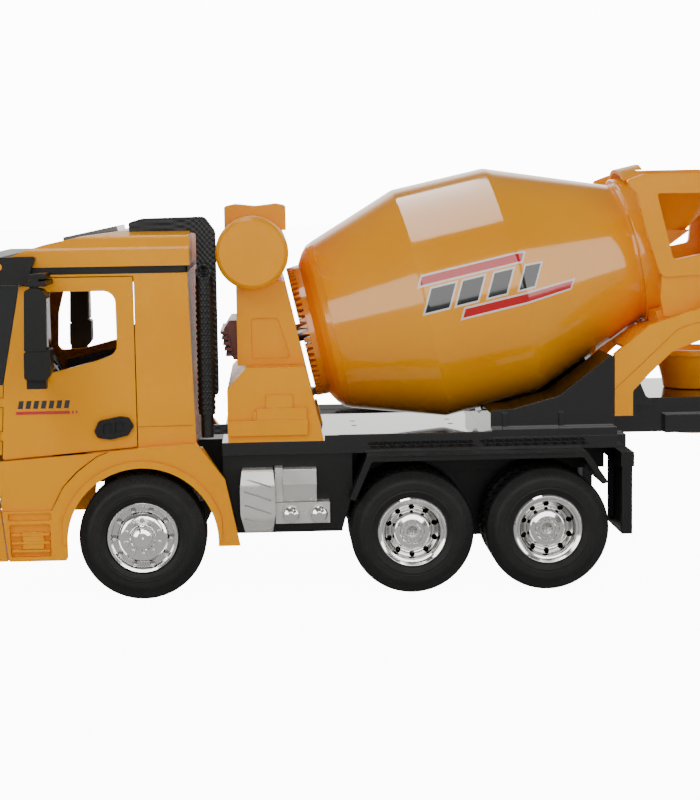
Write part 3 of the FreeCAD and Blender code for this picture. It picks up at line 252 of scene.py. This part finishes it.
body = dict(rough=0.26, spread=0.05, spec=0.14, grain=700, depth=0.012)
M = {
    "body_yellow": moulded("body_yellow", YELLOW, ORANGE, PALE, **body),
    "drum_yellow": moulded("drum_yellow", YELLOW, ORANGE, PALE, rough=0.12, spread=0.03, coat=0.4,
                           spec=0.4, grain=60, depth=0.015, crease_shade_amount=0.45, extra=drum_bands),
    "drum_plain": moulded("drum_plain", YELLOW, ORANGE, PALE, rough=0.14, spread=0.03, coat=0.4,
                          grain=80, depth=0.015, crease_shade_amount=0.45),
    "black_plastic": moulded("black_plastic", (0.0065, 0.0065, 0.006), (0.002, 0.002, 0.002),
                             (0.022, 0.022, 0.020), rough=0.40, spec=0.20, grain=1500, depth=0.035),
    "deck_gloss": moulded("deck_gloss", (0.012, 0.011, 0.011), (0.004, 0.003, 0.003), (0.05, 0.05, 0.05),
                          rough=0.045, spread=0.02, spec=0.6, grain=45, depth=0.02, crease_shade_amount=0.2),
    "gloss_black": moulded("gloss_black", (0.008, 0.008, 0.008), (0.003, 0.003, 0.003),
                           (0.03, 0.03, 0.03), rough=0.12, spread=0.04, grain=120, depth=0.01),
    "chrome": moulded("chrome", (0.86, 0.85, 0.83), (0.10, 0.09, 0.08), (0.95, 0.95, 0.94), rough=0.09,
                      spread=0.04, metal=1.0, grain=400, depth=0.008, edge=0.2, crease_shade_amount=0.85, reach=2.6),
    "steel": moulded("steel", (0.46, 0.45, 0.43), (0.14, 0.12, 0.10), (0.8, 0.8, 0.8), rough=0.28,
                     metal=1.0, grain=1200, depth=0.02, edge=0.15),
    "motor_can": moulded("motor_can", (0.42, 0.42, 0.41), (0.1, 0.1, 0.1), (0.7, 0.7, 0.7), rough=0.32,
                         metal=0.9, grain=600),
    "brass": moulded("brass", (0.65, 0.42, 0.13), (0.2, 0.1, 0.03), (0.85, 0.66, 0.3), rough=0.3,
                     metal=1.0, edge=0.1),
    "gear_nylon": moulded("gear_nylon", (0.62, 0.60, 0.54), (0.3, 0.28, 0.24), (0.8, 0.79, 0.75),
                          rough=0.4, edge=0.1),
    "silver_plastic": moulded("silver_plastic", (0.66, 0.65, 0.62), (0.16, 0.15, 0.14),
                              (0.82, 0.82, 0.80), rough=0.26, spread=0.06, metal=0.35, spec=0.5,
                              grain=1100, depth=0.02, crease_shade_amount=0.7),
    # painted shade: this dark red is the shade of the gap between cab and pedestal, put into the cooler's colour
    "cooler_red": moulded("cooler_red", (0.36, 0.045, 0.004), (0.10, 0.012, 0.002), (0.6, 0.14, 0.03),
                          rough=0.3, grain=900),
    "dark_glass": moulded("dark_glass", (0.010, 0.011, 0.012), (0.003, 0.003, 0.003), (0.03, 0.03, 0.03),
                          rough=0.05, spread=0.02, coat=0.5, grain=30, depth=0.01),
    "lamp_red": moulded("lamp_red", (0.55, 0.01, 0.008), (0.2, 0.004, 0.004), (0.8, 0.1, 0.08),
                        rough=0.1, coat=0.5, grain=300),
    "lamp_clear": moulded("lamp_clear", (0.78, 0.80, 0.82), (0.3, 0.3, 0.32), (0.95, 0.95, 0.95),
                          rough=0.08, metal=0.5, coat=0.5, grain=300),
    "interior_plastic": moulded("interior_plastic", (0.009, 0.008, 0.007), (0.003, 0.003, 0.003),
                                (0.03, 0.025, 0.02), rough=0.45, spec=0.25, grain=1400, depth=0.04),
    "amber": moulded("amber", (1.0, 0.36, 0.02), (0.5, 0.12, 0.0), (1.0, 0.7, 0.3), rough=0.08, coat=0.6,
                     grain=300, glow=0.4),
    "red_print": moulded("red_print", (0.60, 0.012, 0.008), (0.3, 0.005, 0.004), (0.8, 0.1, 0.08),
                         rough=0.3, grain=1200, edge=0.05),
    "black_print": moulded("black_print", (0.012, 0.012, 0.012), (0.004, 0.004, 0.004),
                           (0.04, 0.04, 0.04), rough=0.3, grain=1200, edge=0.05),
    "stack": moulded("stack", (0.008, 0.008, 0.0075), (0.002, 0.002, 0.002), (0.03, 0.03, 0.03),
                     rough=0.36, spec=0.25, extra=punched),
}
SPECIAL = {"exhaust_stack": "stack", "tail_platform": "deck_gloss", "drum_cap": "drum_plain",
           "drum_ring_gear": "drum_plain"}
rubber = dict(rough=0.50, spread=0.08, spec=0.18, grain=1300, depth=0.03, edge=0.5)
for name, o in N.items():
    if SLOT[name] == "tyre":
        m = moulded("rubber_" + name, (0.009, 0.009, 0.0085), (0.003, 0.003, 0.003),
                    (0.022, 0.022, 0.020), extra=tyre_skin(name), **rubber)
    else:
        m = M[SPECIAL.get(name, SLOT[name])]
    o.data.materials.clear()
    o.data.materials.append(m)


# --------------------------------------------------------------- added pieces
def piece(name, bm, material, body, soften=0.15):
    """Makes one named object from a bmesh, rounds its edges and lets it ride on a body."""
    bmesh.ops.recalc_face_normals(bm, faces=bm.faces)
    mesh = bpy.data.meshes.new(name)
    bm.to_mesh(mesh)
    bm.free()
    mesh.materials.append(M[material])
    o = bpy.data.objects.new(name, mesh)
    bpy.context.scene.collection.objects.link(o)
    if soften:
        b = o.modifiers.new("soften", "BEVEL")
        b.width = soften * MM
        b.segments = 2
        b.limit_method = "ANGLE"
        b.angle_limit = math.radians(40)
    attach(o, body)
    return o


def slab(bm, points, plane, w0, w1):
    """Closed prism: points in one plane, from w0 to w1 across it; all in metres."""
    def at(p, w):
        a, b = p
        return {"xz": (a, w, b), "yz": (w, a, b), "xy": (a, b, w)}[plane]
    low = [bm.verts.new(at(p, w0)) for p in points]
    top = [bm.verts.new(at(p, w1)) for p in points]
    bm.faces.new(low)
    bm.faces.new(list(reversed(top)))
    n = len(points)
    for i in range(n):
        j = (i + 1) % n
        bm.faces.new((low[i], low[j], top[j], top[i]))


def lathe(bm, profile, centre, direction, steps=24):
    """Closed body turned from (along, radius) points round an axis through centre; metres."""
    d = Vector(direction).normalized()
    u = d.orthogonal().normalized()
    v = d.cross(u)
    rows = []
    for along, r in profile:
        base = Vector(centre) + d * along
        if r == 0:
            rows.append([bm.verts.new(base)])
            continue
        row = []
        for k in range(steps):
            t = 2 * math.pi * k / steps
            row.append(bm.verts.new(base + u * (r * math.cos(t)) + v * (r * math.sin(t))))
        rows.append(row)
    for a, b in zip(rows, rows[1:]):
        for k in range(steps):
            k2 = (k + 1) % steps
            quad = [a[k % len(a)], a[k2 % len(a)], b[k2 % len(b)], b[k % len(b)]]
            quad = [q for i, q in enumerate(quad) if q not in quad[:i]]
            if len(quad) > 2:
                bm.faces.new(quad)
    for row in (rows[0], rows[-1]):
        if len(row) > 2:
            bm.faces.new(row)


def rect(a0, b0, a1, b1):
    return [(a0, b0), (a1, b0), (a1, b1), (a0, b1)]


def wiper_x(z):
    """Just in front of the leaning windscreen at height z; mm."""
    return GLASS_FOOT[0] + (z - GLASS_FOOT[1]) * GLASS_LEAN - 0.7


for tag, sign in (("left", -1), ("right", 1)):
    door = "door_l" if sign < 0 else "door_r"
    lo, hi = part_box("door_" + tag)
    skin = sign * CAB_FACE * MM
    # plain slanted blocks and a bar where the toy carries its print
    bm = bmesh.new()
    for k in range(7):
        x = lo.x + (9.0 + 3.15 * k) * MM
        z = lo.z + 21.0 * MM
        pts = [(x, z), (x + 2.0 * MM, z), (x + 2.7 * MM, z + 3.3 * MM), (x + 0.7 * MM, z + 3.3 * MM)]
        slab(bm, pts, "xz", skin, skin + sign * PRINT * MM)
    piece("door_blocks_" + tag, bm, "black_print", door, 0)
    bm = bmesh.new()
    z = lo.z + 18.6 * MM
    slab(bm, rect(lo.x + 8.2 * MM, z, lo.x + 30.4 * MM, z + 1.3 * MM), "xz", skin,
         skin + sign * PRINT * MM)
    for k in range(2):
        x = lo.x + (31.2 + 1.5 * k) * MM
        slab(bm, rect(x, z + 0.1 * MM, x + 0.8 * MM, z + 1.3 * MM), "xz", skin, skin + sign * PRINT * MM)
    piece("door_bar_" + tag, bm, "red_print", door, 0)
    # amber marker lamp on the visor's side
    lo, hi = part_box("roof_trim")
    bm = bmesh.new()
    y = lo.y if sign < 0 else hi.y
    centre = (lo.x + 12.6 * MM, y - sign * 0.3 * MM, 139.6 * MM)
    dome = [(0, 1.5), (0.5, 1.45), (0.9, 1.1), (1.1, 0.6), (1.15, 0)]
    lathe(bm, [(a * MM, r * MM) for a, r in dome], centre, (0, sign, 0))
    piece("visor_lamp_" + tag, bm, "amber", "chassis", 0)
    # mirror glass on the face that looks back along the truck
    lo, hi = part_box("door_fittings_" + tag)
    edge = (lo.y if sign < 0 else hi.y) - sign * 1.3 * MM
    bm = bmesh.new()
    slab(bm, rect(edge, 108.6 * MM, edge - sign * 8.8 * MM, 127.8 * MM), "yz", lo.x + 9.2 * MM,
         lo.x + 10.0 * MM)
    piece("mirror_glass_" + tag, bm, "chrome", door, 0.1)
    # dark lining inside the door, with an arm rest and a pull
    lo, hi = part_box("door_" + tag)
    wall = sign * 57.3 * MM
    bm = bmesh.new()
    card = [(lo.x + 17 * MM, 66 * MM), (hi.x - 3 * MM, 66 * MM), (hi.x - 3 * MM, 97.5 * MM),
            (lo.x + 36 * MM, 95 * MM), (lo.x + 17 * MM, 90.5 * MM)]
    slab(bm, card, "xz", wall, wall - sign * 1.0 * MM)
    slab(bm, rect(lo.x + 22 * MM, 78 * MM, lo.x + 44 * MM, 82 * MM), "xz", wall - sign * 0.8 * MM,
         wall - sign * 3.6 * MM)
    slab(bm, rect(lo.x + 26 * MM, 85 * MM, lo.x + 34 * MM, 86.4 * MM), "xz", wall - sign * 0.8 * MM,
         wall - sign * 2.2 * MM)
    piece("door_lining_" + tag, bm, "interior_plastic", door, 0.3)
    # tread pattern on top of the rear mudguards: two fields of crossed bars
    lo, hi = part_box("rear_mudguards")
    bm = bmesh.new()
    top = GUARD_TOP * MM
    for start_x, count in ((lo.x + 9.5 * MM, 22), (lo.x + 57.0 * MM, 22)):
        for i in range(count):
            for j in range(4):
                x = start_x + (2.0 * i + (j % 2)) * MM
                y = sign * (57.8 + 2.1 * j) * MM
                lean = 0.55 * MM if (i + j) % 2 else -0.55 * MM
                pts = [(x - lean - 0.2 * MM, y), (x - lean + 0.2 * MM, y),
                       (x + lean + 0.2 * MM, y + sign * 1.6 * MM),
                       (x + lean - 0.2 * MM, y + sign * 1.6 * MM)]
                slab(bm, pts, "xy", top - 0.05 * MM, top + 0.35 * MM)
    piece("tread_bars_" + tag, bm, "black_plastic", "chassis", 0)
    # headlamp reflectors
    lo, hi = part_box("headlamps")
    bm = bmesh.new()
    for y in (43.6, 52.0):
        bowl = [(0, 3.7), (0.7, 3.6), (0.9, 3.1), (0.5, 2.6), (0.4, 1.0), (1.0, 0.8), (1.1, 0)]
        lathe(bm, [(a * MM, q * MM) for a, q in bowl], (lo.x + 0.2 * MM, sign * y * MM, 43.4 * MM),
              (-1, 0, 0))
    piece("lamp_bowls_" + tag, bm, "lamp_clear", "chassis", 0.05)
    # wiper: pivot, arm and blade in front of the glass
    bm = bmesh.new()
    foot = Vector((wiper_x(93.5), sign * 30, 93.5))
    tip = Vector((wiper_x(110.0), sign * 14, 110.0))
    lathe(bm, [(-0.8 * MM, 1.5 * MM), (0.7 * MM, 1.3 * MM), (1.0 * MM, 0)], foot * MM, (-1, 0, 0), 16)
    lathe(bm, [(0, 0.45 * MM), ((tip - foot).length * MM, 0.3 * MM)], foot * MM, tip - foot, 10)
    low = Vector((wiper_x(101.0), sign * 24, 101.0))
    high = Vector((wiper_x(120.0), sign * 4.5, 120.0))
    span = (high - low).length * MM
    blade = [(0, 0.3 * MM), (MM, 0.5 * MM), (span - MM, 0.5 * MM), (span, 0.3 * MM)]
    lathe(bm, blade, low * MM, high - low, 10)
    piece("wiper_" + tag, bm, "black_plastic", "chassis", 0.05)

# blank number plates with a raised rim, front and back
for tag, x, z, toward in (("front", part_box("bumper")[0].x, 52.2, -1),
                          ("rear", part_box("tail_platform")[1].x, 61.0, 1)):
    bm = bmesh.new()
    slab(bm, rect(-13 * MM, (z - 3) * MM, 13 * MM, (z + 3) * MM), "yz", x, x + toward * 0.5 * MM)
    for y0, z0, y1, z1 in ((-13, z - 3, 13, z - 2.5), (-13, z + 2.5, 13, z + 3),
                           (-13, z - 2.5, -12.5, z + 2.5), (12.5, z - 2.5, 13, z + 2.5)):
        slab(bm, rect(y0 * MM, z0 * MM, y1 * MM, z1 * MM), "yz", x + toward * 0.4 * MM,
             x + toward * 0.8 * MM)
    piece("plate_" + tag, bm, "silver_plastic", "chassis", 0.1)

# small round ejector marks on the deck
bm = bmesh.new()
for x, y in ((-21, 8), (-21, -8), (22, 8), (22, -8)):
    lathe(bm, [(0, 1.3 * MM), (0.10 * MM, 1.2 * MM), (0.12 * MM, 0.7 * MM), (0.05 * MM, 0)],
          (x * MM, y * MM, DECK_TOP * MM), (0, 0, 1), 20)
piece("deck_marks", bm, "black_print", "chassis", 0)

# --------------------------------------------------------------- light, floor
def camera():
    c = bpy.data.cameras.new("camera")
    c.lens = 81.0
    c.sensor_width = 36.0
    c.clip_start = 0.01
    c.clip_end = 50
    o = bpy.data.objects.new("camera", c)
    bpy.context.scene.collection.objects.link(o)
    yaw, pitch, roll = (math.radians(a) for a in (2.461, 6.552, -0.901))
    ahead = Vector((math.sin(yaw), math.cos(yaw), 0))
    side = Vector((math.cos(yaw), -math.sin(yaw), 0))
    look = ahead * math.cos(pitch) - Vector((0, 0, 1)) * math.sin(pitch)
    lift = ahead * math.sin(pitch) + Vector((0, 0, 1)) * math.cos(pitch)
    right = side * math.cos(roll) + lift * math.sin(roll)
    up = lift * math.cos(roll) - side * math.sin(roll)
    m = Matrix((right, up, -look)).transposed().to_4x4()
    m.translation = Vector((-0.05676, -0.80269, 0.16731))
    o.matrix_world = m
    bpy.context.scene.camera = o


def softbox(name, centre, aim, width, height, power, diffuse=True, glossy=True):
    light = bpy.data.lights.new(name, "AREA")
    light.shape = "RECTANGLE"
    light.size = width
    light.size_y = height
    light.energy = power
    o = bpy.data.objects.new(name, light)
    bpy.context.scene.collection.objects.link(o)
    o.location = centre
    o.rotation_euler = (Vector(aim) - Vector(centre)).to_track_quat("-Z", "Y").to_euler()
    o.visible_diffuse = diffuse
    o.visible_glossy = glossy
    o.visible_camera = False
    return o


def sky():
    """White behind the object for the camera; for light, a bright back and a dimmer front."""
    world = bpy.data.worlds.new("World")
    bpy.context.scene.world = world
    world.use_nodes = True
    t = world.node_tree
    out = t.nodes["World Output"]
    seen, lit = t.nodes["Background"], t.nodes.new("ShaderNodeBackground")
    seen.inputs["Color"].default_value = (1, 1, 1, 1)
    seen.inputs["Strength"].default_value = WHITE_SKY
    lit.inputs["Color"].default_value = (1.0, 0.99, 0.97, 1)
    ray = t.nodes.new("ShaderNodeLightPath")
    where = t.nodes.new("ShaderNodeTexCoord")
    split = t.nodes.new("ShaderNodeSeparateXYZ")
    t.links.new(where.outputs["Generated"], split.inputs[0])
    def ramp(socket, *values):
        n = t.nodes.new("ShaderNodeMapRange")
        n.interpolation_type = "SMOOTHSTEP"
        for q, v in zip(n.inputs[1:5], values):
            q.default_value = v
        t.links.new(socket, n.inputs[0])
        return n.outputs[0]

    def both(op, one, two):
        n = t.nodes.new("ShaderNodeMath")
        n.operation = op
        t.links.new(one, n.inputs[0])
        t.links.new(two, n.inputs[1])
        return n.outputs[0]

    back = both("MULTIPLY", ramp(split.outputs["Y"], 0.0, 0.6, 0.0, 2.3),
                ramp(split.outputs["Z"], 0.38, 0.62, 1.0, 0.0))
    front = ramp(ray.outputs["Is Glossy Ray"], 0.0, 1.0, 0.44, 0.20)
    t.links.new(both("ADD", back, front), lit.inputs["Strength"])
    mix = t.nodes.new("ShaderNodeMixShader")
    t.links.new(ray.outputs["Is Camera Ray"], mix.inputs[0])
    t.links.new(lit.outputs[0], mix.inputs[1])
    t.links.new(seen.outputs[0], mix.inputs[2])
    t.links.new(mix.outputs[0], out.inputs[0])


def ground():
    """Plain white floor, white to the camera and dim in reflections."""
    mesh = bpy.data.meshes.new("floor")
    mesh.from_pydata([(-9, -9, 0), (9, -9, 0), (9, 9, 0), (-9, 9, 0)], [], [(0, 1, 2, 3)])
    o = bpy.data.objects.new("floor", mesh)
    bpy.context.scene.collection.objects.link(o)
    s = Tree("floor_white")
    s.put(s.bsdf.inputs["Base Color"], s.mix(s.remap(s.noise(3, 2), 0.3, 0.7, 0, 0.03),
                                             (0.92, 0.92, 0.92), (0.88, 0.88, 0.88)))
    s.put(s.bsdf.inputs["Roughness"], 0.8)
    s.put(s.bsdf.inputs["Specular IOR Level"], 0.1)
    ray = s.add("ShaderNodeLightPath")
    glow = s.add("ShaderNodeEmission")
    s.put(glow.inputs["Strength"], s.math("MULTIPLY", ray.outputs["Is Camera Ray"], WHITE_FLOOR))
    both = s.add("ShaderNodeAddShader")
    s.t.links.new(s.bsdf.outputs[0], both.inputs[0])
    s.t.links.new(glow.outputs[0], both.inputs[1])
    dim = s.add("ShaderNodeEmission")
    s.put(dim.inputs["Strength"], 0.5)
    pick = s.add("ShaderNodeMixShader")
    s.t.links.new(ray.outputs["Is Glossy Ray"], pick.inputs[0])
    s.t.links.new(both.outputs[0], pick.inputs[1])
    s.t.links.new(dim.outputs[0], pick.inputs[2])
    s.t.links.new(pick.outputs[0], s.out.inputs[0])
    mesh.materials.append(s.mat)


camera()
sky()
ground()
softbox("key", (-0.7, -1.3, 1.2), LIGHT_AIM, 1.2, 0.9, 9.0, glossy=False)
softbox("fill", (0.9, -1.4, 0.6), LIGHT_AIM, 1.0, 0.9, 3.6, glossy=False)
PANELS = (
    ("panel_left", -38, 0.0, 0.75, 0.80, 8.5),
    ("panel_mid", 5, 0.1, 1.07, 1.16, 16.0),
    ("panel_right", 54, 0.02, 1.2, 0.68, 11.5),
)
for name, turn, low, high, width, power in PANELS:
    t = math.radians(turn)
    place = (PANEL_R * math.sin(t), -PANEL_R * math.cos(t), (low + high) / 2)
    softbox(name, place, (0, 0, place[2]), width, high - low, power, diffuse=False)
softbox("overhead", (-0.24, 0.25, 1.25), (-0.24, 0.25, 0), 0.42, 1.6, 17.0, diffuse=False)
